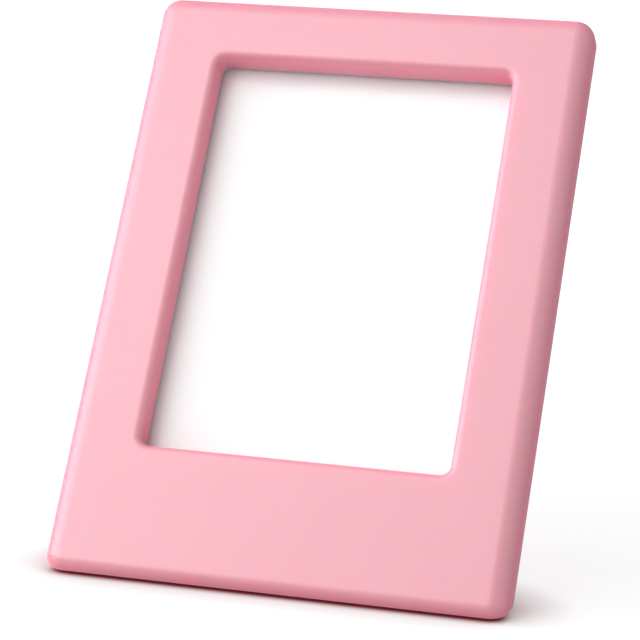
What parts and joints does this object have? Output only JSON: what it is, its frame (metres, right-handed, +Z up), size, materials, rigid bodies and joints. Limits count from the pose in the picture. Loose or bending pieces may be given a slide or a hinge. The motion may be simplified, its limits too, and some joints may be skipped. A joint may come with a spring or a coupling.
{
  "type": "magnetic photo frame",
  "caption": "Small leaning photo frame for an instant print, with a folding leg for the table and disc magnets in its back for a steel surface.",
  "frame": {"origin": "on the table, in the middle of the underside of the rubber strip under the base", "axes": "+X across the frame, +Y towards its back, +Z up; the face leans back 30 degrees from upright and looks towards -Y"},
  "size_m": [0.068, 0.0552, 0.081],
  "materials": {
    "pink_plastic": "satin moulded",
    "clear_plastic": "clear sheet",
    "white_card": "blank photo card",
    "nickel": "nickel plated magnets",
    "steel": "zinc plated",
    "rubber": "matte"
  },
  "bodies": {
    "frame": {"front_shell": "pink_plastic", "window_pane": "clear_plastic", "backing_plate": "pink_plastic", "back_cover": "pink_plastic", "magnets": "nickel", "cover_screws": "steel", "hinge_pin": "steel", "base_pad": "rubber"},
    "leg": {"stand_leg": "pink_plastic", "leg_foot": "rubber"},
    "card": {"photo_card": "white_card"}
  },
  "joints": [
    {"name": "leg_hinge", "type": "hinge", "parent": "frame", "child": "leg", "pos_m": [0, 0.02683, 0.04446], "axis": [-1, 0, 0], "range_deg": [0, 40]},
    {"name": "card_slide", "type": "slide", "parent": "frame", "child": "card", "axis": [0, 0.5, 0.866], "range_m": [0, 0.09]}
  ]
}
